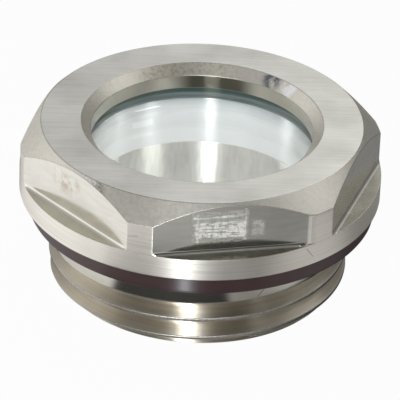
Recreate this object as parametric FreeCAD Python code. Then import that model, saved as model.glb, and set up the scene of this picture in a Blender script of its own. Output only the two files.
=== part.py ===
import FreeCAD, Part
import math
import os
from FreeCAD import Vector

# A liquid level indicator: a screw-in sight glass with a hexagonal head and a one inch pipe
# thread. Sizes are in millimetres. The axis is Z, the end of the thread stands on Z = 0, and
# two of the six flats face -Y and +Y. The pocket for the glass opens at the thread's end, and
# the pieces in it are stacked up against a lip below the viewing face.

# Head: a turned disc with six milled flats above a round collar
head_diameter = 40.0
head_height = 8.3
head_bevel = 2.25
across_flats = 36.0
flat_count = 6
collar_height = 2.55
cutter_corner_radius = 0.35

# Viewing opening and the lip that the glass bears on
opening_diameter = 24.5
opening_bevel = 1.1
lip_height = 2.65

# Stub with the parallel pipe thread: 11 turns to the inch, 55 degree flanks
stub_length = 11.0
thread_diameter = 33.249
thread_pitch = 2.309
thread_flank_angle = 55.0
thread_length = 6.0
thread_start_angle = -166.0
runout_angle = 90.0
stub_bevel = 1.5

# Pocket bored up from the thread's end
pocket_diameter = 27.2
pocket_bevel = 0.4

# Pieces stacked in the pocket, from the lip down
glass_thickness = 4.0
glass_bevel = 0.3
glass_clearance = 0.1
glass_seal_width = 0.6
glass_seal_height = 1.0
sleeve_height = 5.7
sleeve_clearance = 0.05
clear_diameter = 25.4
ring_recess = 0.8
ring_bevel = 0.4

# Flat sealing ring below the collar
flange_seal_width = 2.45
flange_seal_thickness = 2.1
flange_seal_clearance = 0.125
flange_seal_rounding = 0.45

# Proportions of the pipe thread's basic profile, as shares of the pitch
depth_per_pitch = 0.640327
flat_per_pitch = 1.0 / 6.0
overcut_per_pitch = 0.1
runout_sections = 8

# Heights and radii that follow from the sizes above
total_height = stub_length + head_height
ledge_height = stub_length + collar_height
glass_top = total_height - lip_height
glass_bottom = glass_top - glass_thickness
sleeve_bottom = glass_bottom - sleeve_height
head_radius = head_diameter / 2
apothem = across_flats / 2
opening_radius = opening_diameter / 2
thread_radius = thread_diameter / 2
thread_depth = depth_per_pitch * thread_pitch
pocket_radius = pocket_diameter / 2
glass_radius = pocket_radius - glass_clearance
clear_radius = clear_diameter / 2

ORIGIN = Vector(0, 0, 0)
UP = Vector(0, 0, 1)


def section_wire(points):
    """Closed outline in the XZ plane through (radius, height) points."""
    corners = [Vector(radius, 0, height) for radius, height in points]
    return Part.makePolygon(corners + corners[:1])


def revolved(points):
    """Solid of revolution about the axis of an outline given as (radius, height) points."""
    return Part.Face(section_wire(points)).revolve(ORIGIN, UP, 360)


def turned_blank():
    """The housing as it leaves the lathe, before its flats and its thread are cut."""
    recess_radius = pocket_radius - glass_seal_width
    recess_top = glass_top + glass_seal_height
    return revolved([
        (pocket_radius + pocket_bevel, 0),
        (thread_radius - stub_bevel, 0),
        (thread_radius, stub_bevel),
        (thread_radius, stub_length),
        (head_radius, stub_length),
        (head_radius, total_height - head_bevel),
        (head_radius - head_bevel, total_height),
        (opening_radius + opening_bevel, total_height),
        (opening_radius, total_height - opening_bevel),
        (opening_radius, glass_top),
        (recess_radius, glass_top),
        (recess_radius, recess_top),
        (pocket_radius, recess_top),
        (pocket_radius, pocket_bevel),
    ])


def flat_cutter():
    """Bar that mills one flat: it leaves a ledge, and a small radius in the corner above it."""
    reach = head_radius - apothem + head_bevel
    inner, outer = apothem, apothem + reach
    low, high = ledge_height, total_height + head_bevel
    radius = cutter_corner_radius
    turn = radius * (1 - math.sqrt(0.5))
    half_width = head_radius

    def corner(distance, height):
        return Vector(distance, -half_width, height)

    outline = Part.Wire([
        Part.LineSegment(corner(outer, high), corner(inner, high)).toShape(),
        Part.LineSegment(corner(inner, high), corner(inner, low + radius)).toShape(),
        Part.Arc(corner(inner, low + radius), corner(inner + turn, low + turn),
                 corner(inner + radius, low)).toShape(),
        Part.LineSegment(corner(inner + radius, low), corner(outer, low)).toShape(),
        Part.LineSegment(corner(outer, low), corner(outer, high)).toShape(),
    ])
    return Part.Face(outline).extrude(Vector(0, 2 * half_width, 0))


def hexagon_cutters():
    """One bar for each flat. The first flat faces -Y."""
    cutters = []
    for index in range(flat_count):
        cutter = flat_cutter()
        cutter.rotate(ORIGIN, UP, -90 + index * 360 / flat_count)
        cutters.append(cutter)
    return cutters


def groove_outline(lift=0.0):
    """Section of the thread groove, moved out of the metal by lift."""
    slope = math.tan(math.radians(thread_flank_angle / 2))
    overcut = overcut_per_pitch * thread_pitch
    root_half = flat_per_pitch * thread_pitch / 2
    mouth_half = root_half + (thread_depth + overcut) * slope
    root = thread_radius - thread_depth + lift
    mouth = thread_radius + overcut + lift
    return section_wire([(root, -root_half), (root, root_half), (mouth, mouth_half), (mouth, -mouth_half)])


def thread_groove():
    """Groove of the thread at full depth, from one turn below the stub up to its run-out."""
    height = thread_length + thread_pitch
    helix = Part.makeLongHelix(thread_pitch, height, thread_radius, 0, False)
    groove = Part.Wire(helix.Edges).makePipeShell([groove_outline()], True, True)
    groove.translate(Vector(0, 0, -thread_pitch))
    groove.rotate(ORIGIN, UP, thread_start_angle)
    return groove


def thread_runout():
    """End of the groove, where the tool drew out of the metal while the work still turned."""
    first_angle = thread_start_angle + 360 * thread_length / thread_pitch
    sections = []
    for step in range(runout_sections + 1):
        share = step / runout_sections
        section = groove_outline(lift=share * (thread_depth + overcut_per_pitch * thread_pitch))
        section.rotate(ORIGIN, UP, first_angle + share * runout_angle)
        section.translate(Vector(0, 0, thread_length + thread_pitch * share * runout_angle / 360))
        sections.append(section)
    return Part.makeLoft(sections, True, False)


def housing():
    """Hexagonal head and threaded stub, turned and milled from one bar of stainless steel."""
    shape = turned_blank().cut(hexagon_cutters())
    shape = shape.cut(thread_groove())
    return shape.cut(thread_runout())


def flange_seal():
    """Flat ring of fluoro rubber round the stub, with its two outer edges rounded in two chords."""
    inner = thread_radius + flange_seal_clearance
    outer = inner + flange_seal_width
    top = stub_length
    bottom = top - flange_seal_thickness
    rounding = flange_seal_rounding
    inset = rounding * (1 - math.sqrt(0.5))
    return revolved([
        (inner, bottom),
        (outer - rounding, bottom),
        (outer - inset, bottom + inset),
        (outer, bottom + rounding),
        (outer, top - rounding),
        (outer - inset, top - inset),
        (outer - rounding, top),
        (inner, top),
    ])


def glass_seal():
    """Thin ring of fluoro rubber in the corner of the lip, over the rim of the glass."""
    return revolved([
        (pocket_radius - glass_seal_width, glass_top),
        (pocket_radius, glass_top),
        (pocket_radius, glass_top + glass_seal_height),
        (pocket_radius - glass_seal_width, glass_top + glass_seal_height),
    ])


def sight_glass():
    """Round pane of toughened glass, with its rims ground off at 45 degrees."""
    return revolved([
        (0, glass_bottom),
        (glass_radius - glass_bevel, glass_bottom),
        (glass_radius, glass_bottom + glass_bevel),
        (glass_radius, glass_top - glass_bevel),
        (glass_radius - glass_bevel, glass_top),
        (0, glass_top),
    ])


def white_sleeve():
    """White plastic sleeve that spaces the glass from the retaining ring and lights the bore."""
    outer = pocket_radius - sleeve_clearance
    return revolved([
        (clear_radius, sleeve_bottom),
        (outer, sleeve_bottom),
        (outer, glass_bottom),
        (clear_radius, glass_bottom),
    ])


def retaining_ring():
    """Steel ring pressed into the pocket from below. It holds the stack against the lip."""
    return revolved([
        (clear_radius + ring_bevel, ring_recess),
        (pocket_radius, ring_recess),
        (pocket_radius, sleeve_bottom),
        (clear_radius, sleeve_bottom),
        (clear_radius, ring_recess + ring_bevel),
    ])


PIECES = {
    "housing": housing,
    "flange_seal": flange_seal,
    "glass_seal": glass_seal,
    "sight_glass": sight_glass,
    "white_sleeve": white_sleeve,
    "retaining_ring": retaining_ring,
}

os.makedirs("parts", exist_ok=True)
for name, make in PIECES.items():
    piece = make()
    solid = piece.Solids[0]
    print(name, "solids", len(piece.Solids), "valid", piece.isValid(), "volume", round(solid.Volume, 1))
    solid.exportStep(os.path.join("parts", name + ".step"))
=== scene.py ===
# %% [markdown]
# A liquid level indicator, rebuilt over its imported solids. It is a screw-in sight glass: a turned steel
# head with six milled flats, a window, a dark red sealing ring and a pipe thread. The imported model is
# loaded first, because each piece below hides the imported solid that it stands in for.

# %% Load the frame
import math

import bpy
import numpy as np
from mathutils import Matrix, Quaternion, Vector


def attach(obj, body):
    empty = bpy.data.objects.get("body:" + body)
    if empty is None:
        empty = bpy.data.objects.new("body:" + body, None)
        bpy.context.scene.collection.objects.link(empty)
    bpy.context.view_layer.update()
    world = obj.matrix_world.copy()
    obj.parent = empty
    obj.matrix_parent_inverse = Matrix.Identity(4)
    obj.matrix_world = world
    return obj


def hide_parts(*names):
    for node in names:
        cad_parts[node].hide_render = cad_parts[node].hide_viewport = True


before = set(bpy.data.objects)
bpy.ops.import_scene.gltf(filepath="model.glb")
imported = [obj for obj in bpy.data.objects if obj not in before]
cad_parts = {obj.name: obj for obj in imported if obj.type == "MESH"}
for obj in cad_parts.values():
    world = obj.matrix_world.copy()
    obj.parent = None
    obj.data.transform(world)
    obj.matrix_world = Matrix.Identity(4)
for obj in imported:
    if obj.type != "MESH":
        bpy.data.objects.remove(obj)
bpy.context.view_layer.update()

# %% [markdown]
# All sizes below are in millimetres, as on a drawing, and one factor turns them into Blender's metres
# when a mesh is made. They repeat the drawing's sizes: the axis is Z, and the thread's end is Z = 0.
# The white sleeve stops a hair below the window, so that no two faces lie in one plane.

# %% Sizes of the real pieces
MM = 0.001
TOP = 19.3
HEAD_RADIUS = 20.0
HEAD_BEVEL = 2.25
APOTHEM = 18.0
COLLAR_BOTTOM = 11.0
LEDGE = 13.55
CORNER_RADIUS = 0.35
OPENING_RADIUS = 12.25
OPENING_BEVEL = 1.1
LIP_BOTTOM = 16.65
SEAL_RECESS_RADIUS = 13.0
SEAL_RECESS_TOP = 17.65
POCKET_RADIUS = 13.6
POCKET_BEVEL = 0.4
STUB_RADIUS = 16.6245
STUB_BEVEL = 1.5
PITCH = 2.309
GLASS_RADIUS = 13.5
GLASS_BOTTOM = 12.65
GLASS_BEVEL = 0.3
SLEEVE_RADIUS = 13.55
SLEEVE_BOTTOM = 6.95
SLEEVE_TOP = 12.62
CLEAR_RADIUS = 12.7
RING_BOTTOM = 0.8
RING_BEVEL = 0.4
SEAL_INNER = 16.75
SEAL_OUTER = 19.2
SEAL_BOTTOM = 8.9
print("head", 2 * HEAD_RADIUS, "mm across,", 2 * APOTHEM, "mm across the flats,", TOP, "mm high")

# %% [markdown]
# The photograph was taken from above and a little to the left of one flat. Fitting a pinhole camera to
# the outlines gave its place and its three axes. The lens is long, so the perspective is slight.

# %% Camera
CAMERA_PLACE = (-78.534, -369.473, 233.147)
CAMERA_RIGHT = (0.981540, -0.188190, 0.034126)
CAMERA_UP = (0.067274, 0.506736, 0.859472)
CAMERA_FORWARD = (0.179036, 0.841310, -0.510042)
PIXELS_PER_UNIT = 3950.56
PHOTO_WIDTH = 400
SENSOR = 36.0

camera_data = bpy.data.cameras.new("camera")
camera_data.sensor_width = SENSOR
camera_data.lens = PIXELS_PER_UNIT / PHOTO_WIDTH * SENSOR
camera_data.clip_start = 0.01
camera_data.clip_end = 20.0
camera = bpy.data.objects.new("camera", camera_data)
bpy.context.scene.collection.objects.link(camera)
turn = np.eye(4)
turn[:3, 0] = CAMERA_RIGHT
turn[:3, 1] = CAMERA_UP
turn[:3, 2] = -np.array(CAMERA_FORWARD)
turn[:3, 3] = np.array(CAMERA_PLACE) * MM
camera.matrix_world = Matrix(turn.tolist())
bpy.context.scene.camera = camera
bpy.context.scene.view_settings.view_transform = "Standard"
print("lens", round(camera_data.lens, 1), "mm")

# %% [markdown]
# Every piece was turned, so each is a profile carried round the axis. Blender's Screw modifier could do
# that, but arrays of points let the flats, the thread and the seal change it from angle to angle. Its
# corners have small radii, because an edge on metal catches a thin line of light. One more row stands
# close to each, and keeps the wall's shading flat up to it.

# %% Rounded corners and rings
LONGEST_CUT = 0.45
LONGEST_HOLD = 0.05
SMALLEST = 1e-9


def rounded_corner(before, corner, after, radius, steps=3, hold=0.05):
    """Rows of a corner between two straight runs: p(t) = (1-t)^2 a + 2 t (1-t) c + t^2 b.

    c is the corner, and a and b lie the radius away from it on its two runs, or less on a short run.
    One row more stands the hold distance beyond each. The last axis of the points is (radius, height).
    """
    before, corner, after = np.broadcast_arrays(before, corner, after)
    back = before - corner
    on = after - corner
    back_length = np.linalg.norm(back, axis=-1, keepdims=True)
    on_length = np.linalg.norm(on, axis=-1, keepdims=True)
    back = back / np.maximum(back_length, SMALLEST)
    on = on / np.maximum(on_length, SMALLEST)
    start = corner + back * np.minimum(radius, back_length * LONGEST_CUT)
    end = corner + on * np.minimum(radius, on_length * LONGEST_CUT)
    rows = [start + back * np.minimum(hold, back_length * LONGEST_HOLD)]
    for t in np.linspace(0, 1, steps + 1):
        rows.append((1 - t) ** 2 * start + 2 * t * (1 - t) * corner + t ** 2 * end)
    rows.append(end + on * np.minimum(hold, on_length * LONGEST_HOLD))
    return rows


def ring_quads(rows, columns):
    """Faces between neighbouring rows of a grid whose columns close into a ring."""
    index = np.arange(rows * columns).reshape(rows, columns)
    right = np.roll(index, -1, axis=1)
    return np.stack([index[:-1], right[:-1], right[1:], index[1:]], axis=-1).reshape(-1, 4)


def closing_quads(rows, columns):
    """Faces from the last row of such a grid back to its first, which close the section."""
    first = np.arange(columns)
    last = first + (rows - 1) * columns
    return np.stack([last, np.roll(last, -1), np.roll(first, -1), first], axis=-1)


def swept(radius, height, theta):
    """Points (r cos a, r sin a, z) for arrays of radius and height over rows and angles."""
    return np.stack([radius * np.cos(theta), radius * np.sin(theta), height], axis=-1).reshape(-1, 3)


# %% [markdown]
# A grid has points that fall together, as on the axis of the window or where a column meets no flat.
# They are welded by number: points are rounded to a fine step, and equal ones become one.

# %% Meshes
WELD_STEP = 2e-5


def welded(points, quads, slots):
    """Merges points in one place. A face that loses a corner becomes a triangle or is dropped."""
    keys = np.round(points / WELD_STEP).astype(np.int64)
    _, first, label = np.unique(keys, axis=0, return_index=True, return_inverse=True)
    faces = label.reshape(-1)[quads]
    same = faces == np.roll(faces, -1, axis=1)
    crossed = (faces[:, 0] == faces[:, 2]) | (faces[:, 1] == faces[:, 3])
    lost = same.sum(axis=1)
    whole = (lost == 0) & ~crossed
    cut = (lost == 1) & ~crossed
    triangles = faces[cut][~same[cut]].reshape(-1, 3)
    return points[first], faces[whole], triangles, np.concatenate([slots[whole], slots[cut]])


def add_piece(name, points, quads, materials, slots):
    """Makes a closed, smooth mesh object from points in millimetres and quads with corners in order."""
    points, quads, triangles, slots = welded(points, quads, slots)
    mesh = bpy.data.meshes.new(name)
    mesh.from_pydata((points * MM).tolist(), [], quads.tolist() + triangles.tolist())
    for material in materials:
        mesh.materials.append(material)
    mesh.polygons.foreach_set("material_index", slots.astype(np.int32))
    mesh.polygons.foreach_set("use_smooth", np.ones(len(mesh.polygons), dtype=bool))
    mesh.update()
    piece = bpy.data.objects.new(name, mesh)
    bpy.context.scene.collection.objects.link(piece)
    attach(piece, "root")
    print(name, "faces", len(mesh.polygons), "points", len(mesh.vertices))
    return piece


# %% [markdown]
# Materials come next, each from what the real one is. They need a colour helper, because Blender counts
# light in linear numbers and a colour code doesn't, and one function that adds, sets and links a node.

# %% Colour and nodes
def linear(code):
    """Linear colour of an sRGB hex code: ((c + 0.055) / 1.055)^2.4, or c / 12.92 near black."""
    c = np.array([int(code[i:i + 2], 16) for i in (1, 3, 5)]) / 255
    return (*np.where(c <= 0.04045, c / 12.92, ((c + 0.055) / 1.055) ** 2.4), 1.0)


def wire(tree, value, socket):
    """Gives an input its value, or links it where the value is the output of another node."""
    if isinstance(value, bpy.types.NodeSocket):
        tree.links.new(value, socket)
    else:
        socket.default_value = value


def node(tree, kind, settings=None, values=(), **named):
    """Adds one node, with its settings as attributes and its inputs as values or as sockets to link.

    values fill the first inputs in order. The others are named as in Blender, with _ for a space.
    """
    made = tree.nodes.new(kind)
    for key, value in (settings or {}).items():
        setattr(made, key, value)
    inputs = dict(enumerate(values))
    inputs.update({key.replace("_", " "): value for key, value in named.items()})
    for key, value in inputs.items():
        wire(tree, value, made.inputs[key])
    return made


def number(tree, operation, *values):
    """Result of a Math node."""
    return node(tree, "ShaderNodeMath", {"operation": operation}, values).outputs[0]


def vector(tree, operation, *values):
    """Result of a Vector Math node: a number for a length, a distance or a dot product."""
    measures = operation in ("LENGTH", "DISTANCE", "DOT_PRODUCT")
    made = node(tree, "ShaderNodeVectorMath", {"operation": operation}, values)
    return made.outputs["Value" if measures else "Vector"]


def blend(tree, share, one, other):
    """Colour that goes from one to the other as the share goes from 0 to 1."""
    made = node(tree, "ShaderNodeMix", {"data_type": "RGBA"}, [share])
    wire(tree, one, made.inputs[6])
    wire(tree, other, made.inputs[7])
    return made.outputs[2]


def place_on(tree):
    """Place on the object, in metres."""
    return node(tree, "ShaderNodeTexCoord").outputs["Object"]


def new_material(name):
    """An empty node material and its tree."""
    material = bpy.data.materials.new(name)
    material.use_nodes = True
    material.node_tree.nodes.clear()
    return material, material.node_tree


def mm(point):
    """A point in millimetres as a tuple in metres."""
    return tuple(v * MM for v in point)


print("middle grey is", round(float(linear("#808080")[0]), 3), "in linear light")

# %% [markdown]
# A machined surface is covered with fine marks. They could be a picture, but a stretched noise needs no
# seam. Straight marks come from a noise whose scale differs along each axis, and turned ones from a
# noise over the height and the distance from the axis. Real marks are finer than a pixel here, so they
# are drawn as coarse as they need to be seen.

# %% Marks of the tools
LATHE_SLOPE = 0.6


def noise(tree, place, detail=2.0):
    """Value at a place of a smooth noise whose features are one unit wide."""
    return node(tree, "ShaderNodeTexNoise", Vector=place, Scale=1.0, Detail=detail).outputs[0]


def straight_grain(tree, scale, turn_deg=0.0, detail=2.0):
    """Straight marks: noise with so many features per millimetre along each axis, turned about Z."""
    turned = node(tree, "ShaderNodeVectorRotate", {"rotation_type": "Z_AXIS"}, Vector=place_on(tree),
                  Angle=math.radians(turn_deg)).outputs[0]
    return noise(tree, vector(tree, "MULTIPLY", turned, tuple(s / MM for s in scale)), detail)


def lathe_grain(tree, along, across, detail=2.0):
    """Marks that run round the axis: noise over (along x, along y, across (z - 0.6 r)).

    r is the distance from the axis, so the marks show on walls, cones and faces alike. along and
    across are features per millimetre.
    """
    place = place_on(tree)
    radius = vector(tree, "LENGTH", vector(tree, "MULTIPLY", place, (1, 1, 0)))
    height = node(tree, "ShaderNodeSeparateXYZ", Vector=place).outputs["Z"]
    slanted = number(tree, "MULTIPLY_ADD", radius, -LATHE_SLOPE, height)
    lift = node(tree, "ShaderNodeCombineXYZ", Z=number(tree, "MULTIPLY", slanted, across / MM))
    wide = vector(tree, "MULTIPLY", place, (along / MM, along / MM, 0))
    return noise(tree, vector(tree, "ADD", wide, lift.outputs[0]), detail)


print("turned marks lean by", round(math.degrees(math.atan(LATHE_SLOPE)), 1), "degrees in the section")

# %% [markdown]
# Wear sits in a few places only, so it needs masks: a soft box, a line, and specks of noise in a box.
# They are worked out from the place on the object, in millimetres.

# %% Masks
def soft_step(tree, distance, low, high, least=0.0, most=1.0):
    """Goes smoothly from least to most as the distance goes from low to high, in millimetres."""
    return node(tree, "ShaderNodeMapRange", {"interpolation_type": "SMOOTHSTEP"},
                [distance, low * MM, high * MM, least, most]).outputs[0]


def within(tree, low, high, soft):
    """1 inside the box from low to high, in millimetres, falling to 0 over the soft distance round it."""
    place = place_on(tree)
    outside = vector(tree, "MAXIMUM", vector(tree, "SUBTRACT", mm(low), place),
                     vector(tree, "SUBTRACT", place, mm(high)))
    away = vector(tree, "LENGTH", vector(tree, "MAXIMUM", outside, (0, 0, 0)))
    return soft_step(tree, away, 0.0, soft, 1.0, 0.0)


def scratch(tree, start, end, width):
    """1 on the straight line from start to end, in millimetres, falling to 0 over the width beside it."""
    line = np.array(end) - np.array(start)
    offset = vector(tree, "SUBTRACT", place_on(tree), mm(start))
    share = vector(tree, "DOT_PRODUCT", offset, tuple(line / (line @ line) / MM))
    share = node(tree, "ShaderNodeClamp", Value=share).outputs[0]
    nearest = node(tree, "ShaderNodeVectorMath", {"operation": "SCALE"}, [mm(line)], Scale=share)
    away = vector(tree, "DISTANCE", offset, nearest.outputs[0])
    return soft_step(tree, away, 0.0, width, 1.0, 0.0)


def product(tree, one, other):
    """Product of two masks."""
    return number(tree, "MULTIPLY", one, other)


def larger(tree, one, other):
    """Larger of two masks."""
    return number(tree, "MAXIMUM", one, other)


def step_of(tree, value, low, high, least=0.0, most=1.0):
    """Rises from least to most as the value goes from low to high."""
    return node(tree, "ShaderNodeMapRange", None, [value, low, high, least, most]).outputs[0]


def specks(tree, low, high, soft, scale, least, rise):
    """Specks in a soft box, where fine noise climbs over the value least. rise is how softly."""
    grain = straight_grain(tree, scale, detail=3.0)
    return product(tree, within(tree, low, high, soft), step_of(tree, grain, least, least + rise))


# %% [markdown]
# The head is stainless steel. All that shows of a metal is what it mirrors, tinted a little and blurred
# by its marks. Marks that run one way spread a reflection across themselves, which the shader calls
# anisotropy. So one function makes every steel, from its marks and how rough and one-way they are.

# %% Steel
# A noise value stays mostly between 0.3 and 0.7. Clouds show where it climbs, lines where it dips.
CLOUD_RANGE = (0.35, 0.7)
LINE_RANGE = (0.6, 0.3)
CLOUD_SCALE = 0.15
ROUGH_SHARE = 0.15
WORN_RISE = 5.0


def metal(name, marks_of, colour, roughness, anisotropy, depth, across=(0, 0, 1), tint="#857D70",
          cloudy=0.25, lined=0.2, stains=(), worn=None, worn_rough=0.6):
    """Bare steel: its machining marks bump it, darken it in their grooves and vary its roughness.

    depth is the height of the marks in millimetres, and across is the way in which they spread light.
    tint is the colour of its clouds and lines, and cloudy and lined are how much of it they take.
    Each of the stains is a mask, its values, and the colour that the steel has there. Where the mask
    worn is 1, the roughness is worn_rough and the surface stands up by WORN_RISE times a mark's depth.
    """
    material, tree = new_material(name)
    marks = marks_of(tree)
    cloud = straight_grain(tree, (CLOUD_SCALE, CLOUD_SCALE, CLOUD_SCALE), detail=4.0)
    share = node(tree, "ShaderNodeMath", {"operation": "ADD", "use_clamp": True},
                 [step_of(tree, cloud, *CLOUD_RANGE, 0.0, cloudy),
                  step_of(tree, marks, *LINE_RANGE, 0.0, lined)])
    base = blend(tree, share.outputs[0], linear(colour), linear(tint))
    for mask_of, values, stain in stains:
        base = blend(tree, mask_of(tree, *values), base, linear(stain))
    rough = step_of(tree, marks, 0.0, 1.0, roughness * (1 - ROUGH_SHARE), roughness * (1 + ROUGH_SHARE))
    height = marks
    if worn:
        mask = worn(tree)
        height = number(tree, "MULTIPLY_ADD", mask, WORN_RISE, marks)
        rough = node(tree, "ShaderNodeMix", {"data_type": "FLOAT"}, Factor=mask, A=rough,
                     B=worn_rough).outputs[0]
    bump = node(tree, "ShaderNodeBump", Strength=1.0, Distance=depth * MM, Height=height)
    spread = node(tree, "ShaderNodeCombineXYZ", None, across)
    shader = node(tree, "ShaderNodeBsdfPrincipled", Base_Color=base, Metallic=1.0,
                  Roughness=rough, Anisotropic=anisotropy, Normal=bump.outputs[0],
                  Tangent=spread.outputs[0])
    node(tree, "ShaderNodeOutputMaterial", Surface=shader.outputs[0])
    print(name, "roughness", roughness, "anisotropy", anisotropy)
    return material


# %% [markdown]
# The part has been used. On the front flat a spanner rubbed two patches bright, with fine crossed lines
# and a sharp line at each end of its jaw. The left flat has a faint brown stain, the edge above it has
# nicks, and the bevel beside them is scuffed. The rest of the wear is short scratches, and a white line on
# one turned corner is a painted glint.

# %% Rubbed patches
FLAT_BEFORE = -18.4
FLAT_BEHIND = -17.6
# Each patch is left, right, low and high in millimetres, then how soft its edge is, and its level.
RUBBED = {
    "broad patch": (-4.1, 1.3, 15.3, 17.0, 0.35, 1.0),
    "line above it": (-4.3, 1.4, 17.65, 17.85, 0.12, 0.95),
    "halo round it": (-4.3, 1.5, 14.8, 18.3, 0.4, 0.45),
    "small patch": (2.3, 3.2, 15.4, 16.9, 0.5, 0.55),
    "dull left part": (-9.5, -4.6, 14.6, 18.2, 0.5, 0.13),
    "left jaw line": (-3.9, -3.75, 14.7, 18.2, 0.1, 0.8),
    "right jaw line": (1.25, 1.4, 14.8, 18.6, 0.1, 0.8),
}
# Each grain that breaks the patches up is its features per millimetre, the noise values between which
# it shows, and its least level.
LEVEL_LINES = ((0.5, 0.5, 5.0), 0.40, 0.50, 0.42)
UPRIGHT_LINES = ((4.5, 4.5, 0.6), 0.38, 0.50, 0.7)
RAGGED = ((2.0, 2.0, 2.0), 0.38, 0.50, 0.5)


def broken_up(tree, grain):
    """Level from a grain's least to 1, as its noise goes from its low value to its high one."""
    scale, low, high, least = grain
    return step_of(tree, straight_grain(tree, scale, detail=4.0), low, high, least)


def rubbed(tree):
    """The bright places on the front flat: soft boxes, broken up by fine crossed lines."""
    total = None
    for left, right, low, high, soft, level in RUBBED.values():
        box = within(tree, (left, FLAT_BEFORE, low), (right, FLAT_BEHIND, high), soft)
        band = product(tree, box, level)
        total = band if total is None else larger(tree, total, band)
    lines = product(tree, broken_up(tree, LEVEL_LINES), broken_up(tree, UPRIGHT_LINES))
    return product(tree, product(tree, total, broken_up(tree, RAGGED)), lines)


print("rubbed patches", len(RUBBED))


# %% Stains, specks and scratches
def stained(tree):
    """A faint brown stain on the left flat."""
    spot = within(tree, (-16.8, -8.8, 16.9), (-15.8, -6.8, 17.5), 1.8)
    cloud = straight_grain(tree, (0.9, 0.9, 0.9), detail=4.0)
    return product(tree, spot, step_of(tree, cloud, 0.45, 0.65, 0.0, 0.6))


# Specks: the two corners of a soft box, its softness, and the grain's scale, least value and rise.
NICKS = ((-15.1, -12.2, 18.6), (-14.0, -9.2, 19.2), 0.6, (5.0, 5.0, 5.0), 0.50, 0.15)
SCUFFS = ((-14.6, -12.9, 18.2), (-13.6, -11.8, 19.0), 0.9, (5.0, 2.5, 5.0), 0.34, 0.3)
MOTTLING = ((-3.0, 12.3, 18.0), (4.0, 13.5, 19.5), 5.0, (2.5, 2.5, 2.5), 0.40, 0.3)
# The dark and the bright patch are a painted dark reflection and a painted highlight on the opening's bevel.
PAINTED_DARK_BEVEL_REFLECTION = ((9.2, 8.2, 18.4), (10.2, 9.2, 19.3), 0.9, (1.5, 1.5, 0.4), 0.30, 0.25)
PAINTED_BEVEL_HIGHLIGHT = ((10.9, 6.2, 18.4), (11.5, 7.2, 19.3), 0.9, (1.5, 1.5, 0.4), 0.30, 0.25)
# The painted dark reflection is an olive place on the back of the lip's wall: the two corners of its box,
# and its softness.
PAINTED_DARK_REFLECTION = ((1.5, 10.5, 16.5), (6.0, 12.5, 18.4), 3.0)
# Each scratch is its start, its end and its width, and so is the painted glint.
# The first line is a painted glint, a white line on the turned corner left of the front flat.
PAINTED_CORNER_GLINT = ((-9.6, -17.5, 15.76), (-8.8, -17.97, 15.76), 0.05)
DULL_SCRATCH = ((-11.1, -16.63, 15.38), (-10.15, -17.24, 15.67), 0.05)
COLLAR_SCRATCH = ((8.1, -18.3, 13.2), (8.9, -17.9, 12.0), 0.06)
LAND_SCRATCH = ((3.4, -16.3, 6.3), (4.1, -16.1, 7.1), 0.07)
# The count takes in the painted glint.
print("scratches", len([PAINTED_CORNER_GLINT, DULL_SCRATCH, COLLAR_SCRATCH, LAND_SCRATCH]))

# %% [markdown]
# The outside of the head has five finishes. Its round walls were turned, its bevels were cut with a form
# tool, its viewing face was brushed, and the flats and the ledges below them were milled with the side
# and the end of one cutter.

# %% Finishes of the head
# Turned steel: marks run round it, so each lamp is drawn out into a tall, upright streak.
turned_steel = metal(
    "turned_stainless", lambda t: lathe_grain(t, along=0.06, across=5.0, detail=4.0), "#FFFAF0",
    roughness=0.36, anisotropy=0.8, depth=0.014, cloudy=0.1, lined=0.18,
    # The white line on the corner is a painted glint.
    stains=[(scratch, PAINTED_CORNER_GLINT, "#FFFFFF"), (scratch, DULL_SCRATCH, "#8C867A"),
            (scratch, COLLAR_SCRATCH, "#8C867A")])
# Bevelled steel: an even satin grey, with hardly a direction, that changes tone slowly round the head.
# Nicks lie on its outer edge beside a scuff. A painted dark reflection and a painted highlight lie as faint
# patches on the opening's bevel.
coned_steel = metal(
    "bevelled_stainless", lambda t: straight_grain(t, (2.5, 2.5, 2.5), detail=4.0), "#E8E4DA",
    roughness=0.42, anisotropy=0.2, depth=0.008, tint="#A39A84", cloudy=0.1, lined=0.18,
    stains=[(specks, SCUFFS, "#8F8A80"), (specks, NICKS, "#FFFFFF"), (specks, MOTTLING, "#BDB59E"),
            (specks, PAINTED_DARK_BEVEL_REFLECTION, "#7E838A"), (specks, PAINTED_BEVEL_HIGHLIGHT, "#FFFFFF")])
# Brushed steel: long fine lines a little off the level, and a broad soft sheen across them.
BRUSHING_TURN = 12.0
ACROSS_BRUSHING = (0.21, 0.98, 0)
brushed_steel = metal(
    "brushed_stainless", lambda t: straight_grain(t, (0.15, 5.0, 0.5), BRUSHING_TURN, detail=3.0),
    "#F4F3EC", roughness=0.44, anisotropy=0.6, depth=0.008, across=ACROSS_BRUSHING, lined=0.12)
# Milled steel: almost a mirror, so a flat is as dark or as bright as what it faces, and dull where rubbed.
milled_steel = metal(
    "milled_stainless", lambda t: straight_grain(t, (0.5, 0.5, 2.0), detail=3.0), "#EDEAE1",
    roughness=0.18, anisotropy=0.0, depth=0.003, cloudy=0.12, lined=0.1, worn=rubbed, worn_rough=0.66,
    stains=[(rubbed, (), "#FFFFF6"), (stained, (), "#B29A80")])
# End-cut steel: the cutter's end rubs as it cuts, so the ledges are duller and a little olive.
ledge_steel = metal(
    "end_cut_stainless", lambda t: straight_grain(t, (0.5, 0.5, 2.0), detail=3.0), "#CBC8BB",
    roughness=0.22, anisotropy=0.0, depth=0.004, cloudy=0.25, lined=0.15)
# Burred edges: a thin rough line that glints unevenly wherever two cuts meet.
edge_steel = metal(
    "burred_edges", lambda t: straight_grain(t, (4.0, 4.0, 4.0), detail=3.0), "#D2CEC4",
    roughness=0.42, anisotropy=0.0, depth=0.040, lined=0.4)

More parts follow.
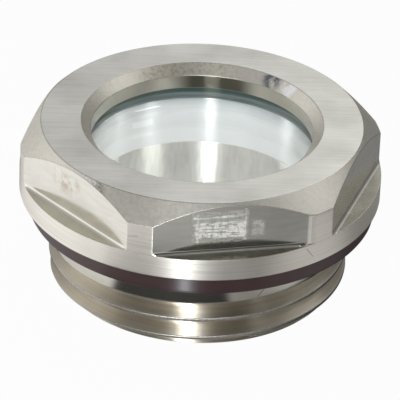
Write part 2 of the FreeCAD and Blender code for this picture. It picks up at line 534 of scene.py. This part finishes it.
# %% [markdown]
# Below the head and in the bore the same steel was cut with other tools. The thread kept some of the
# cutting oil's warm tone, the land above it was turned finely for the seal, the lip's wall was reamed,
# and the ring in the bore is a piece of drawn tube with its grain along the axis.

# %% Finishes of the stub and the bore
# Thread: warm and satin, with marks along the groove, so it shows one broad upright highlight.
thread_steel = metal(
    "thread_cut_stainless", lambda t: lathe_grain(t, along=0.03, across=5.0, detail=3.0), "#F0E8D7",
    roughness=0.42, anisotropy=1.0, depth=0.006)
# Land: so finely turned that it mirrors the floor and the painted shadow in front of it with a sharp edge.
land_steel = metal(
    "fine_turned_land", lambda t: lathe_grain(t, along=0.05, across=5.0, detail=3.0), "#F0ECE1",
    roughness=0.17, anisotropy=0.3, depth=0.002, lined=0.1,
    stains=[(scratch, LAND_SCRATCH, "#5A554C")])
# Drawn tube: uneven upright streaks, between which the lamps show as bright upright lines.
bore_steel = metal(
    "drawn_stainless", lambda t: straight_grain(t, (2.4, 2.4, 0.6), detail=4.0), "#DAD8D1",
    roughness=0.30, anisotropy=1.0, depth=0.012)
# Reamed wall: smooth, with slow changes from dark to bright round the opening.
lip_steel = metal(
    "reamed_stainless", lambda t: straight_grain(t, (3.0, 3.0, 0.5), detail=3.0), "#CFCBBF",
    # The olive place is a painted dark reflection.
    roughness=0.30, anisotropy=0.7, depth=0.001, lined=0.05, stains=[(within, PAINTED_DARK_REFLECTION, "#57544A")])

# %% [markdown]
# The other pieces aren't metal. A non-metal mirrors little and shows its own colour, so one function
# makes the rubber, the white sleeve and the ground rim of the window. The sleeve's white is greyed towards
# its upper end as painted shade under the lip, and the rim turns dark green towards its top, so the
# function can darken a piece with its height.

# %% Rubber and plastic
def plastic(name, marks_of, colour, roughness, depth, level=0.5, anisotropy=0.0, dull=None, pearl=0.0):
    """A non-metal with fine marks. dull is (low height, high height, colour at the high one).

    level is the strength of its mirror, and pearl is the share of its skin that mirrors as metal does.
    """
    material, tree = new_material(name)
    marks = marks_of(tree)
    bump = node(tree, "ShaderNodeBump", Strength=1.0, Distance=depth * MM, Height=marks)
    rough = step_of(tree, marks, 0.0, 1.0, roughness * (1 - ROUGH_SHARE), roughness * (1 + ROUGH_SHARE))
    base = linear(colour)
    if dull:
        low, high, upper_colour = dull
        height = node(tree, "ShaderNodeSeparateXYZ", Vector=place_on(tree)).outputs["Z"]
        climb = step_of(tree, height, low * MM, high * MM)
        base = blend(tree, product(tree, climb, climb), base, linear(upper_colour))
    upright = node(tree, "ShaderNodeCombineXYZ", Z=1.0)
    shader = node(tree, "ShaderNodeBsdfPrincipled", Base_Color=base, Metallic=pearl, Roughness=rough,
                  IOR=1.45, Anisotropic=anisotropy, Normal=bump.outputs[0], Tangent=upright.outputs[0],
                  Specular_IOR_Level=level)
    node(tree, "ShaderNodeOutputMaterial", Surface=shader.outputs[0])
    print(name, "roughness", roughness, "mirror level", level)
    return material


# Fluoro rubber: moulded and dark red brown, with a soft upright sheen from its slightly waxy skin.
rubber = plastic(
    "fluoro_rubber", lambda t: straight_grain(t, (3.0, 3.0, 6.0), detail=4.0), "#3C2828",
    roughness=0.34, depth=0.003, level=1.0, anisotropy=1.0)
# Pearl white plastic: turned and then polished by wear, so lamps draw fine upright lines in its white.
white_plastic = plastic(
    "pearl_white_plastic", lambda t: lathe_grain(t, along=0.3, across=6.0, detail=3.0), "#FCFCFD",
    # Painted shade: the dull range greys the sleeve towards the lip.
    roughness=0.20, depth=0.0005, level=1.0, anisotropy=1.0, dull=(10.5, 12.7, "#B4B7B9"), pearl=0.2)
# Ground glass: the matt rim, which gives the thin green line round the window.
glass_edge = plastic(
    "ground_glass_edge", lambda t: straight_grain(t, (4.0, 4.0, 4.0)), "#75827F",
    roughness=0.5, depth=0.002, dull=(12.9, 13.7, "#2E4743"))

# %% [markdown]
# Real glass bends light and mirrors a few hundredths of it. Rays from a lamp can't find their way
# through a bending surface, so for shadows alone the glass counts as a clear sheet. Then the lamps
# light the sleeve behind it.

# %% Glass
def clear_glass(name, colour):
    """Polished soda-lime glass that lets lamps light what lies behind it."""
    material, tree = new_material(name)
    shader = node(tree, "ShaderNodeBsdfPrincipled", Base_Color=linear(colour), Metallic=0.0,
                  Roughness=0.0, IOR=1.52, Transmission_Weight=1.0)
    clear = node(tree, "ShaderNodeBsdfTransparent", Color=linear(colour))
    shadow = node(tree, "ShaderNodeLightPath").outputs["Is Shadow Ray"]
    mix = node(tree, "ShaderNodeMixShader", None, [shadow, shader.outputs[0], clear.outputs[0]])
    node(tree, "ShaderNodeOutputMaterial", Surface=mix.outputs[0])
    return material


glass = clear_glass("soda_lime_glass", "#FBFEFD")
print("materials", len(bpy.data.materials))

# %% [markdown]
# The housing is one piece of steel, so its mesh is one closed grid. The columns stand at angles round
# the axis, closely at the edges of the six flats. The rows follow the section from the pocket over the
# end face, the thread, the collar and the flats to the viewing face and back down the bore. The right
# edge of the front flat was broken with a file, and this narrow facet has columns of its own.

# %% Columns of the housing
FLAT_HALF = math.degrees(math.acos(APOTHEM / HEAD_RADIUS))
EDGE_STEPS = np.array([-0.40, -0.16, -0.05, 0.05, 0.16, 0.40])
FIRST_FLAT = -90.0
FLAT_COLUMNS = 51
ROUND_COLUMNS = 8
FACET_TURN = FLAT_HALF / 2
FACET_DEPTH = 0.115
FACET_REACH = HEAD_RADIUS * math.cos(math.radians(FACET_TURN)) - FACET_DEPTH
FACET_END = FACET_TURN + math.degrees(math.acos(FACET_REACH / HEAD_RADIUS))
FACET_START = math.degrees(math.atan2(FACET_REACH - APOTHEM * math.cos(math.radians(FACET_TURN)),
                                      APOTHEM * math.sin(math.radians(FACET_TURN))))
FACET_STEPS = np.array([-0.12, -0.03, 0.03, 0.12])

sector = np.concatenate([
    np.linspace(-FLAT_HALF + 0.9, FACET_START - 0.5, FLAT_COLUMNS),
    FACET_START + FACET_STEPS,
    FLAT_HALF + EDGE_STEPS,
    FACET_END + FACET_STEPS,
    np.linspace(FACET_END + 0.6, 60 - FLAT_HALF - 0.9, ROUND_COLUMNS),
    60 - FLAT_HALF + EDGE_STEPS,
])
columns_deg = np.sort((FIRST_FLAT + 60 * np.arange(6)[:, None] + sector[None, :]).reshape(-1) % 360)
theta = np.radians(columns_deg)
flat_angle = (columns_deg - FIRST_FLAT + 30) % 60 - 30
print("columns", len(theta))

# %% Planes of the flats
EDGE_SOFTNESS = 0.02
FACET_SOFTNESS = 0.012


def softer_min(a, b, softness):
    """Smaller of two values with the corner between them rounded: (a + b - sqrt((a-b)^2 + s^2)) / 2."""
    return (a + b - np.sqrt((a - b) ** 2 + softness ** 2)) / 2


def flat_radius(distance):
    """Radius at which each column meets the plane of its flat, or the round head if that is less.

    A plane at a distance d from the axis is met at r = d / cos(a), where a is the angle from its middle.
    """
    radius = softer_min(distance / np.cos(np.radians(flat_angle)), HEAD_RADIUS, EDGE_SOFTNESS)
    facet = FACET_REACH / np.cos(np.radians(flat_angle - FACET_TURN))
    filed = np.round((columns_deg - FIRST_FLAT) / 60) % 6 == 0
    return np.where(filed & (flat_angle > 0), softer_min(radius, facet, FACET_SOFTNESS), radius)


print("a flat reaches", round(FLAT_HALF, 2), "degrees to each side of its middle")

# %% [markdown]
# The thread is the parallel pipe thread: a groove with 55 degree flanks and rounded roots and crests,
# wound right-handed with 11 turns to the inch. Its rows climb with the helix, one pitch per turn, so
# that crests and roots lie along rows. At the top the tool drew out of the metal over a quarter turn.

# %% Shape of the thread
THREAD_DEPTH = 0.640327 * PITCH
ROUND = 0.137329 * PITCH
FLANK = math.radians(27.5)
ROOT_EDGE = ROUND * math.cos(FLANK)
SHARP_EDGE = PITCH * 5 / 12
CREST_SOFTNESS = 0.07
THREAD_START = math.radians(-166.0)
THREAD_TOP = 6.0
FULL_ANGLE = THREAD_TOP / PITCH * 2 * math.pi
RUNOUT = math.pi / 2


def groove_depth(offset):
    """Depth of the groove at a height offset from its centre line.

    The root is a circle arc and the flank is the straight line f(x) = (edge - x) / tan(27.5 deg). The
    crest is the turned surface, and its edges are rounded a little: (f + sqrt(f^2 + s^2)) / 2.
    """
    away = np.abs(offset)
    root = THREAD_DEPTH - ROUND + np.sqrt(np.maximum(ROUND ** 2 - away ** 2, 0))
    flank = (SHARP_EDGE - away) / math.tan(FLANK)
    rounded = (flank + np.sqrt(flank ** 2 + CREST_SOFTNESS ** 2)) / 2
    return np.where(away < ROOT_EDGE, root, rounded)


def groove_place(angle, height):
    """Height offset from the nearest groove, how far it has turned there, and how far it is drawn out.

    The last goes from 0 where the run-out starts to 1 where the tool left the metal.
    """
    turns = height / PITCH - (angle - THREAD_START) / (2 * math.pi)
    winding = np.floor(turns + 0.5)
    turned = (angle - THREAD_START) + 2 * math.pi * winding
    drawn = np.clip((turned - FULL_ANGLE) / RUNOUT, 0, 1)
    return (turns - winding) * PITCH, turned, drawn


def stub_radius(angle, height):
    """Radius of the threaded stub: the plain stub, less the groove's depth, inside the end bevel."""
    offset, _, drawn = groove_place(angle, height)
    depth = groove_depth(offset) - drawn * THREAD_DEPTH
    threaded = STUB_RADIUS - np.maximum(depth, 0)
    bevelled = STUB_RADIUS - STUB_BEVEL + height
    return np.minimum(threaded, bevelled)


print("thread depth", round(THREAD_DEPTH, 3), "mm, turns", round(THREAD_TOP / PITCH, 2))

# %% Rows of the thread
# The rows of one pitch stand closely where the flank meets the crest, at these distances from it.
NEAR_EDGE = np.array([-0.08, -0.04, -0.015, 0.01, 0.04, 0.08])
FLANK_END = 0.16
STRIP_LOW = 0.12
STRIP_HIGH = 7.2

root_rows = np.array([-1.0, -0.75, -0.4, 0.0, 0.4, 0.75]) * ROOT_EDGE
flank_rows = np.linspace(ROOT_EDGE, SHARP_EDGE - FLANK_END, 4)
half_pitch = np.concatenate([flank_rows, SHARP_EDGE + NEAR_EDGE])
one_pitch = np.concatenate([root_rows, half_pitch, [PITCH / 2], PITCH - half_pitch[:0:-1]])
rows_per_pitch = len(one_pitch)
first_groove = -PITCH * THREAD_START / (2 * math.pi)
pitch_count = int(math.ceil((STRIP_HIGH - first_groove) / PITCH)) + 3
strip_rows = (one_pitch[None, :] + PITCH * (np.arange(pitch_count)[:, None] - 2)).reshape(-1)
strip_height = np.clip(first_groove + strip_rows[:, None] + PITCH * theta[None, :] / (2 * math.pi),
                       STRIP_LOW, STRIP_HIGH)
strip_radius = stub_radius(theta[None, :], strip_height)
print("rows per pitch", rows_per_pitch, "strip rows", len(strip_rows))


def strip_quads(rows, columns, step):
    """Faces of a helical strip: at the seam a row meets the row that is one pitch further on."""
    index = np.arange(rows * columns).reshape(rows, columns)
    right = np.roll(index, -1, axis=1)
    right[:, -1] = index[np.minimum(np.arange(rows) + step, rows - 1), 0]
    return np.stack([index[:-1], right[:-1], right[1:], index[1:]], axis=-1).reshape(-1, 4)


# %% [markdown]
# Each face has the number of its finish. On the stub it depends on the groove: its flanks and root are
# cut thread, the crests are burred, and the land is what the groove leaves, also beside the run-out.

# %% Finish of each face on the stub
TURNED, BRUSHED, MILLED, THREADED, LAND, LIP, CONED, EDGED, LEDGED = range(9)
BURR_WIDTH = 0.03
CREST_WIDTH = 0.12
SHALLOW_START = 0.2
SHALLOWEST = 0.01


def strip_finish(angle, height):
    """Finish of the stub at each angle and height: cut thread, burred crest, or land."""
    offset, turned, drawn = groove_place(angle, height)
    last = FULL_ANGLE + RUNOUT
    uncut = (drawn > SHALLOW_START) & (groove_depth(offset) <= drawn * THREAD_DEPTH + SHALLOWEST)
    above = (offset > SHARP_EDGE + CREST_WIDTH) & (turned + 2 * math.pi > last)
    finish = np.where(np.abs(offset) > SHARP_EDGE - BURR_WIDTH, EDGED, THREADED)
    return np.where(uncut | above | (turned > last), LAND, finish)


strip_slot = strip_finish(theta[None, :], (strip_height[1:] + strip_height[:-1]) / 2).reshape(-1)
print("faces of thread", int((strip_slot == THREADED).sum()), "and of land", int((strip_slot == LAND).sum()))

# %% [markdown]
# The rest of the section is a list of rows. Where a flat was milled, the round wall above the collar
# becomes a plane with a small radius at its foot, and a ledge is left on the collar. Where a column
# meets no flat, those rows fall together and are welded, so the surface stays closed.

# %% Section of the housing
PLAIN_EDGE = 0.05
CRISP_EDGE = 0.04
FILLET_STEPS = 7
FILLET_HOLD = 0.05
END_HOLD = 0.03


def at(radius, height):
    """One row of the section: radius and height at every column."""
    return np.stack(np.broadcast_arrays(radius, height, theta)[:2], axis=-1)


def run(before, corners, after):
    """Rows of rounded corners between two ends, and the finish of the band that starts at each row.

    An end is a radius and a height. So is each corner, with its rounding and the finishes before and
    after it.
    """
    points = [at(*before)] + [at(*corner[:2]) for corner in corners] + [at(*after)]
    rows = []
    bands = []
    for i, (_, _, rounding, old, new) in enumerate(corners):
        rows += rounded_corner(points[i], points[i + 1], points[i + 2], rounding)
        bands += [old] + [EDGED] * 3 + [new] * 2
    return rows, bands


pocket_end = at(POCKET_RADIUS, POCKET_BEVEL)
face_inner = at(POCKET_RADIUS + POCKET_BEVEL, 0.0)
face_outer = at(STUB_RADIUS - STUB_BEVEL, 0.0)
lower_rows = (
    rounded_corner(at(POCKET_RADIUS, SEAL_RECESS_TOP), pocket_end, face_inner, CRISP_EDGE)
    + rounded_corner(pocket_end, face_inner, face_outer, CRISP_EDGE)
    + rounded_corner(face_inner, face_outer, at(STUB_RADIUS, STUB_BEVEL), PLAIN_EDGE, hold=END_HOLD)
)
wall = flat_radius(APOTHEM)
crease_height = TOP - HEAD_BEVEL + HEAD_RADIUS - wall
collar_rows, collar_bands = run((STUB_RADIUS, STRIP_HIGH), [
    (STUB_RADIUS, COLLAR_BOTTOM, 0.04, LAND, TURNED),
    (HEAD_RADIUS, COLLAR_BOTTOM, 0.09, TURNED, TURNED),
    (HEAD_RADIUS, LEDGE, 0.05, TURNED, LEDGED),
], (flat_radius(APOTHEM + CORNER_RADIUS), LEDGE))
fillet_rows = []
for t in np.linspace(0, math.pi / 2, FILLET_STEPS):
    fillet_rows.append(at(flat_radius(APOTHEM + CORNER_RADIUS * (1 - math.sin(t))),
                          LEDGE + CORNER_RADIUS * (1 - math.cos(t))))
fillet_rows.append(at(wall, LEDGE + CORNER_RADIUS + FILLET_HOLD))
head_rows, head_bands = run((wall, LEDGE + CORNER_RADIUS), [
    (wall, crease_height, 0.05, MILLED, CONED),
    (HEAD_RADIUS - HEAD_BEVEL, TOP, 0.06, CONED, BRUSHED),
    (OPENING_RADIUS + OPENING_BEVEL, TOP, 0.05, BRUSHED, CONED),
    (OPENING_RADIUS, TOP - OPENING_BEVEL, 0.05, CONED, LIP),
    (OPENING_RADIUS, LIP_BOTTOM, 0.03, LIP, TURNED),
    (SEAL_RECESS_RADIUS, LIP_BOTTOM, 0.02, TURNED, TURNED),
    (SEAL_RECESS_RADIUS, SEAL_RECESS_TOP, 0.02, TURNED, TURNED),
    (POCKET_RADIUS, SEAL_RECESS_TOP, 0.02, TURNED, TURNED),
], (POCKET_RADIUS, POCKET_BEVEL))
upper_rows = collar_rows + fillet_rows + head_rows
bands = [LAND] + collar_bands + [MILLED] * len(fillet_rows) + head_bands[:-1]
section = np.concatenate([np.array(lower_rows), np.stack([strip_radius, strip_height], axis=-1),
                          np.array(upper_rows)])
print("section rows", len(section), "and the bevel starts at", round(float(crease_height.min()), 2), "mm")

# %% [markdown]
# A rounded corner has six rows, and so three bands on its curve, which are burred edge. Only the flats
# are milled: between them the same rows belong to the turned wall.

# %% Mesh of the housing
count = len(theta)
low, strip, high = len(lower_rows), len(strip_rows), len(upper_rows)
quads = np.concatenate([
    ring_quads(low + 1, count),
    strip_quads(strip, count, rows_per_pitch) + low * count,
    ring_quads(high + 1, count) + (low + strip - 1) * count,
    closing_quads(len(section), count),
])
on_flat = np.abs(flat_angle) < FLAT_HALF - 0.1
on_flat = on_flat & np.roll(on_flat, -1)
upper_slot = np.repeat(np.array(bands), count).reshape(high, count)
upper_slot = np.where(np.isin(upper_slot, (MILLED, LEDGED)) & ~on_flat[None, :], TURNED, upper_slot)
slots = np.concatenate([np.full(low * count, TURNED), strip_slot, upper_slot.reshape(-1),
                        np.full(count, TURNED)])
finishes = [turned_steel, brushed_steel, milled_steel, thread_steel, land_steel, lip_steel, coned_steel,
            edge_steel, ledge_steel]
points = swept(section[..., 0], section[..., 1], theta[None, :])
housing = add_piece("housing_body", points, quads, finishes, slots)
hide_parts("housing")

# %% [markdown]
# The other pieces are plain rings and a disc, so one function makes them from a list of corners. The
# window's section starts and ends on the axis and stays open there, because its points meet on it.

# %% Rings by their corners
RING_COLUMNS = 360
ring_theta = np.radians(np.arange(RING_COLUMNS) * 360 / RING_COLUMNS)


def lathe_piece(name, corners, radii, materials, node_name, lean=0.0, lean_angle=0.0,
                closed=True, corner_slots=None):
    """A section carried round the axis: (radius, height) corners with a rounding for each.

    lean moves the rows outwards by lean * cos(a - lean_angle), in proportion to how far out they are.
    """
    ring = [np.stack(np.broadcast_arrays(r, z, ring_theta)[:2], axis=-1) for r, z in corners]
    rows = []
    row_slots = []
    for i, radius in enumerate(radii):
        if closed or 0 < i < len(ring) - 1:
            new = rounded_corner(ring[i - 1], ring[i], ring[(i + 1) % len(ring)], radius, steps=4)
        else:
            new = [ring[i]]
        rows += new
        row_slots += [corner_slots[i] if corner_slots else 0] * len(new)
    grid = np.array(rows)
    if lean:
        inner, outer = grid[..., 0].min(), grid[..., 0].max()
        share = (grid[..., 0] - inner) / (outer - inner)
        grid[..., 0] += share * lean * np.cos(ring_theta - lean_angle)[None, :]
    quads = ring_quads(len(rows), RING_COLUMNS)
    quad_slots = np.repeat(np.array(row_slots[:-1]), RING_COLUMNS)
    if closed:
        quads = np.concatenate([quads, closing_quads(len(rows), RING_COLUMNS)])
        quad_slots = np.concatenate([quad_slots, np.full(RING_COLUMNS, row_slots[-1])])
    points = swept(grid[..., 0], grid[..., 1], ring_theta[None, :])
    piece = add_piece(name, points, quads, materials, quad_slots)
    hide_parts(node_name)
    return piece


# %% [markdown]
# The sealing ring is loose on the stub, so it leans to one side, and it sags a little at the left. Both
# are under a quarter of a millimetre, but they change how wide its dark band looks. Its lower edge is
# the roundest. The small ring over the window is out of sight in its recess.

# %% Seals
SEAL_LEAN = 0.22
SEAL_LEAN_ANGLE = math.radians(-12)
SEAL_SAG = 0.09
SEAL_SAG_ANGLE = math.radians(-155)
SEAL_ROUNDINGS = [0.05, 0.45, 0.3, 0.05]
WINDOW_SEAL_ROUNDING = 0.1

sagged = SEAL_BOTTOM - SEAL_SAG * (1 + np.cos(ring_theta - SEAL_SAG_ANGLE))
lathe_piece("sealing_ring", [
    (SEAL_INNER, sagged), (SEAL_OUTER, sagged), (SEAL_OUTER, COLLAR_BOTTOM), (SEAL_INNER, COLLAR_BOTTOM),
], SEAL_ROUNDINGS, [rubber], "flange_seal", SEAL_LEAN, SEAL_LEAN_ANGLE)
lathe_piece("window_seal", [
    (SEAL_RECESS_RADIUS, LIP_BOTTOM), (POCKET_RADIUS, LIP_BOTTOM),
    (POCKET_RADIUS, SEAL_RECESS_TOP), (SEAL_RECESS_RADIUS, SEAL_RECESS_TOP),
], [WINDOW_SEAL_ROUNDING] * 4, [rubber], "glass_seal")
print("lowest point of the sealing ring", round(float(sagged.min()), 2), "mm")

# %% [markdown]
# The window is one pane with a ground rim, so it has two materials. Below it come two short tubes: the
# white sleeve, and the steel ring that holds the stack.

# %% Window, sleeve and retaining ring
POLISHED, GROUND = range(2)
lathe_piece("window", [
    (0, GLASS_BOTTOM), (GLASS_RADIUS - GLASS_BEVEL, GLASS_BOTTOM),
    (GLASS_RADIUS, GLASS_BOTTOM + GLASS_BEVEL), (GLASS_RADIUS, LIP_BOTTOM - GLASS_BEVEL),
    (GLASS_RADIUS - GLASS_BEVEL, LIP_BOTTOM), (0, LIP_BOTTOM),
], [0] + [PLAIN_EDGE] * 4 + [0], [glass, glass_edge], "sight_glass",
            closed=False, corner_slots=[POLISHED, GROUND, GROUND, GROUND, POLISHED, POLISHED])
liner = lathe_piece("white_liner", [
    (CLEAR_RADIUS, SLEEVE_BOTTOM), (SLEEVE_RADIUS, SLEEVE_BOTTOM),
    (SLEEVE_RADIUS, SLEEVE_TOP), (CLEAR_RADIUS, SLEEVE_TOP),
], [PLAIN_EDGE] * 4, [white_plastic], "white_sleeve")
retainer = lathe_piece("steel_retainer", [
    (CLEAR_RADIUS + RING_BEVEL, RING_BOTTOM), (POCKET_RADIUS, RING_BOTTOM), (POCKET_RADIUS, SLEEVE_BOTTOM),
    (CLEAR_RADIUS, SLEEVE_BOTTOM), (CLEAR_RADIUS, RING_BOTTOM + RING_BEVEL),
], [PLAIN_EDGE] * 5, [bore_steel], "retaining_ring")

# %% [markdown]
# One flat faces -Y, but the photograph was taken from 12 degrees beside it. The azimuths of lamps and
# shadows are counted with the camera at -90 degrees, as they were read from the picture, and one turn
# takes them into the part's frame.

# %% Directions
PHOTO_TURN = -12.0


def direction(azimuth, elevation):
    """Unit vector towards an azimuth, counted with the camera at -90 degrees, and an elevation."""
    a, e = math.radians(azimuth + PHOTO_TURN), math.radians(elevation)
    return Vector((math.cos(a) * math.cos(e), math.sin(a) * math.cos(e), math.sin(e)))


print("towards the camera", [round(v, 3) for v in direction(-90, 32)])

# %% [markdown]
# The floor is a plain pale sheet, too large for its edge to be seen. It lies a hair below the part, so
# that no two surfaces fall together.

# %% Floor sheet
FLOOR_HALF = 3000.0
FLOOR_DROP = 0.02

floor_mesh = bpy.data.meshes.new("floor")
floor_mesh.from_pydata([(x * FLOOR_HALF * MM, y * FLOOR_HALF * MM, -FLOOR_DROP * MM)
                        for x, y in ((-1, -1), (1, -1), (1, 1), (-1, 1))], [], [(0, 1, 2, 3)])
floor = bpy.data.objects.new("floor", floor_mesh)
bpy.context.scene.collection.objects.link(floor)
print("floor", 2 * FLOOR_HALF * MM, "m wide")

# %% [markdown]
# The camera sees the sheet white. What steel, rubber and glass mirror of it gives them their tones: painted
# shade greys it from the left front to the right back, painted shadows lie on it, and painted light lies on
# it under the bore. So the sheet glows with this painted pattern for mirrored rays, and a small share of it
# is plain paper.

# %% Look of the floor
GREY_RANGE = (-50.0, 12.0)
FAR_LEVEL = 0.22
# Each painted shadow is the azimuth and distance of its middle, and the radii where it starts to fade and
# ends.
SHADOWS = ((-103.8, 30.0, 14.6, 17.0), (12.0, 12.0, 15.5, 20.0), (125.0, 31.0, 11.0, 17.0),
           (140.0, 12.0, 12.5, 16.5))
SHADOW_LEVEL = 0.05
INSIDE_LEVEL = 0.7
PATCH_SHIFT = 42.0
PATCH_LEVEL = 0.4
FOOT_LEVEL = 0.25
OWN_WHITE = 0.97


def reach(tree, place, azimuth, elevation=0):
    """How far a place lies along a direction: their dot product."""
    return vector(tree, "DOT_PRODUCT", place, tuple(direction(azimuth, elevation)))


def away_from(tree, place, azimuth, shift):
    """Distance of a place on the floor from a spot that lies a shift away from the axis."""
    return vector(tree, "DISTANCE", place, tuple(direction(azimuth, 0) * shift * MM))


floor_paper, tree = new_material("pale_paper")
place = place_on(tree)
# Painted shade: the grey range greys the sheet from the left front to the right back.
greyed = soft_step(tree, reach(tree, place, 22), *GREY_RANGE)
shade = blend(tree, greyed, linear("#F0F0EE"), linear("#A4A4A8"))
paper = node(tree, "ShaderNodeBsdfDiffuse", Color=shade)

lit = None
for azimuth, shift, inner, outer in SHADOWS:
    disc = soft_step(tree, away_from(tree, place, azimuth, shift), inner, outer, SHADOW_LEVEL)
    lit = disc if lit is None else product(tree, lit, disc)
from_axis = vector(tree, "LENGTH", place)
# The patch is painted light at the right front, the inside is painted light under the bore, and the foot
# is faint painted light close in front of the part.
patch = soft_step(tree, away_from(tree, place, -32, PATCH_SHIFT), 8.0, 24.0, PATCH_LEVEL, 0.0)
inside = soft_step(tree, from_axis, 12.0, 14.0, INSIDE_LEVEL, 0.0)
foot = product(tree, step_of(tree, from_axis, 22.0 * MM, 24.5 * MM, FOOT_LEVEL, 0.0),
               step_of(tree, reach(tree, place, -110), 6.0 * MM, 14.0 * MM))
bright = step_of(tree, greyed, 0.0, 1.0, 1.0, FAR_LEVEL)
surface = product(tree, lit, number(tree, "ADD", bright, patch))
surface = larger(tree, larger(tree, surface, inside), foot)

rays = node(tree, "ShaderNodeLightPath").outputs
mirrored = number(tree, "ADD", rays["Is Glossy Ray"], rays["Is Transmission Ray"])
share = product(tree, larger(tree, rays["Is Camera Ray"], mirrored), OWN_WHITE)
white = node(tree, "ShaderNodeEmission", Color=(1, 1, 1, 1),
             Strength=larger(tree, rays["Is Camera Ray"], surface))
mix = node(tree, "ShaderNodeMixShader", None, [share, paper.outputs[0], white.outputs[0]])
node(tree, "ShaderNodeOutputMaterial", Surface=mix.outputs[0])
floor_mesh.materials.append(floor_paper)
print("floor nodes", len(tree.nodes))

# %% [markdown]
# The light is read from what the metal mirrors. A soft key lamp stands high behind the part, because
# the plain land under the seal mirrors a dark shadow in front, which is painted on the floor. A tall lamp
# near the camera draws the bright line down the thread and the collar. The three strips are weak, but turned
# metal spreads each of them into an upright line.

# %% Lamps on the whole part
def lamp(name, azimuth, elevation, distance, width, height, level, colour="#FFFFFF", roll=0.0):
    """Area lamp that aims at the part, rolled about its own beam.

    Its level is the share of white that it gives a sheet that faces it.
    """
    data = bpy.data.lights.new(name, "AREA")
    data.shape = "RECTANGLE"
    data.size = width * MM
    data.size_y = height * MM
    data.energy = level * (math.pi * distance * MM) ** 2
    data.color = linear(colour)[:3]
    made = bpy.data.objects.new(name, data)
    towards = direction(azimuth, elevation)
    made.location = towards * distance * MM + Vector((0, 0, TOP / 2 * MM))
    made.rotation_mode = "QUATERNION"
    made.rotation_quaternion = towards.to_track_quat("Z", "Y") @ Quaternion((0, 0, 1), math.radians(roll))
    bpy.context.scene.collection.objects.link(made)
    return made


# Each lamp is its azimuth, elevation, distance, width, height and level.
lamp("key", 70, 51, 600, 160, 160, 0.11)
lamp("front", -98, 14, 600, 36, 340, 0.75, "#F6FAFF")
lamp("side_strip", -41, 30, 600, 6, 400, 0.02)
lamp("right_strip", 2, 48, 600, 10, 300, 0.02)
lamp("back_strip", 23, 48, 600, 10, 300, 0.03)
print("lamps", len(bpy.data.lights))

# %% [markdown]
# The sleeve and the ring in the bore show narrow upright streaks. Lamps strong enough to draw them would
# burn out the head, so these strips are linked to the two pieces in the bore and light nothing else.
# They are hidden from diffuse rays, so only the gloss takes them and the sleeve's white doesn't rise.

# %% Lamps on the bore
BORE_STRIPS = {
    "middle_strip": (-98, 28, 600, 4, 320, 5.0),
    "side_bore_strip": (-35, 31, 600, 4, 300, 3.0),
    "right_bore_strip": (2, 28, 600, 6, 150, 3.6),
    "back_bore_strip": (23, 32, 600, 6, 200, 3.6),
    "left_bore_strip": (173, 30, 600, 6, 200, 6.5),
}

bore_pieces = bpy.data.collections.new("bore_pieces")
bore_pieces.objects.link(liner)
bore_pieces.objects.link(retainer)
for name, values in BORE_STRIPS.items():
    strip_lamp = lamp(name, *values)
    strip_lamp.visible_diffuse = False
    strip_lamp.light_linking.receiver_collection = bore_pieces

# %% [markdown]
# Two thin tubes behind the part give the window its small long reflections. A flat pane shows a lamp as
# small as it is, so each tube is only a few millimetres long, and it is too faint to light anything.

# %% Lamps in the window
TUBE_ROLL = 14.0

lamp("far_tube", 91.58, 29.61, 608.4, 7.0, 0.6, 0.00001, roll=TUBE_ROLL)
lamp("second_tube", 91.70, 30.0, 606.6, 5.5, 1.6, 0.000006, roll=TUBE_ROLL)
print("all lamps", len(bpy.data.lights))

# %% [markdown]
# The room is dark, with a few soft glows for the windows and walls that the bevels and flats mirror. A
# glow falls off from its own direction as a power of the cosine, so a high power makes it narrow. The
# camera itself sees plain white behind the part.

# %% World
# Each glow is its azimuth, elevation, power and level.
GLOWS = [(-130, 58, 8, 0.38), (158, 18, 4, 0.72), (90, 30, 6, 0.485), (172, 4, 10, 0.7), (7, 40, 6, 0.66)]
MIRRORED_SKY = 0.02
LEAST_COSINE = 1e-4

world = bpy.data.worlds.new("studio")
bpy.context.scene.world = world
world.use_nodes = True
tree = world.node_tree
tree.nodes.clear()
place = node(tree, "ShaderNodeTexCoord").outputs["Generated"]
rays = node(tree, "ShaderNodeLightPath").outputs
total = product(tree, rays["Is Glossy Ray"], MIRRORED_SKY)
for azimuth, elevation, power, level in GLOWS:
    cosine = larger(tree, reach(tree, place, azimuth, elevation), LEAST_COSINE)
    total = number(tree, "MULTIPLY_ADD", number(tree, "POWER", cosine, power), level, total)
seen = larger(tree, rays["Is Camera Ray"], rays["Is Transmission Ray"])
background = node(tree, "ShaderNodeBackground", Color=(1, 1, 1, 1),
                  Strength=larger(tree, total, seen))
node(tree, "ShaderNodeOutputWorld", Surface=background.outputs[0])
print("world nodes", len(tree.nodes))
